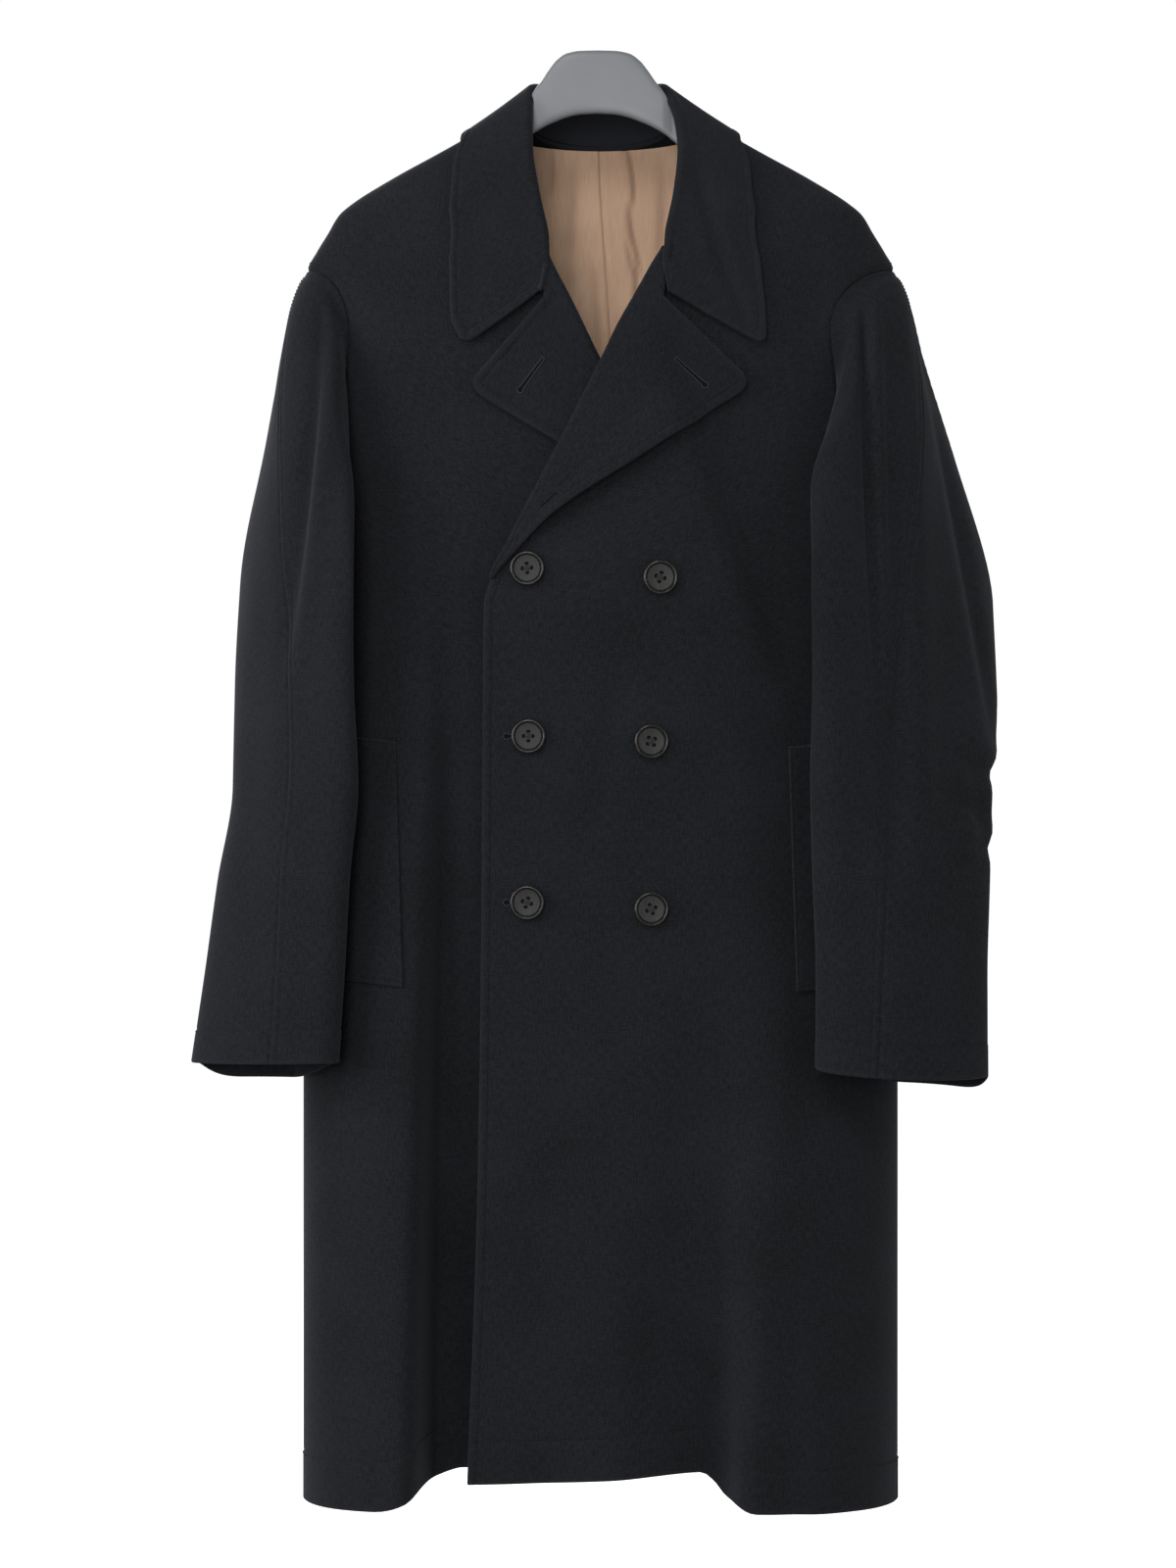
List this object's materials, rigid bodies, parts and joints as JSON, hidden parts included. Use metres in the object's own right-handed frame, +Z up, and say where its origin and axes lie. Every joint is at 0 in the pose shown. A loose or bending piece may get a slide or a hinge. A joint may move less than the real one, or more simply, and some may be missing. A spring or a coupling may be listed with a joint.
{
  "type": "double-breasted overcoat on hanger",
  "caption": "Black double-breasted wool overcoat with a notched collar and welt pockets, hanging closed on a broad grey hanger.",
  "frame": {"origin": "top of the hanger's neck, on its middle, where the hook screws in", "axes": "+X to the wearer's left, -Y out of the coat's front, +Z up"},
  "size_m": [0.6371, 0.2189, 1.148],
  "materials": {
    "black_wool": "matt napped wool coating",
    "tan_lining": "soft sheen of a smooth lining twill",
    "black_horn": "polished dark horn",
    "grey_plastic": "satin moulded plastic"
  },
  "bodies": {
    "root": {"back": "black_wool", "back_lining": "tan_lining", "front_left": "black_wool", "front_right": "black_wool", "lapel_left": "black_wool", "lapel_right": "black_wool", "collar_stand": "black_wool", "collar_leaf": "black_wool", "sleeve_left_fore": "black_wool", "sleeve_left_hind": "black_wool", "sleeve_right_fore": "black_wool", "sleeve_right_hind": "black_wool", "pocket_welt_left": "black_wool", "pocket_welt_right": "black_wool", "button_upper_left": "black_horn", "button_upper_right": "black_horn", "button_middle_left": "black_horn", "button_middle_right": "black_horn", "button_lower_left": "black_horn", "button_lower_right": "black_horn", "hanger": "grey_plastic"}
  },
  "joints": []
}
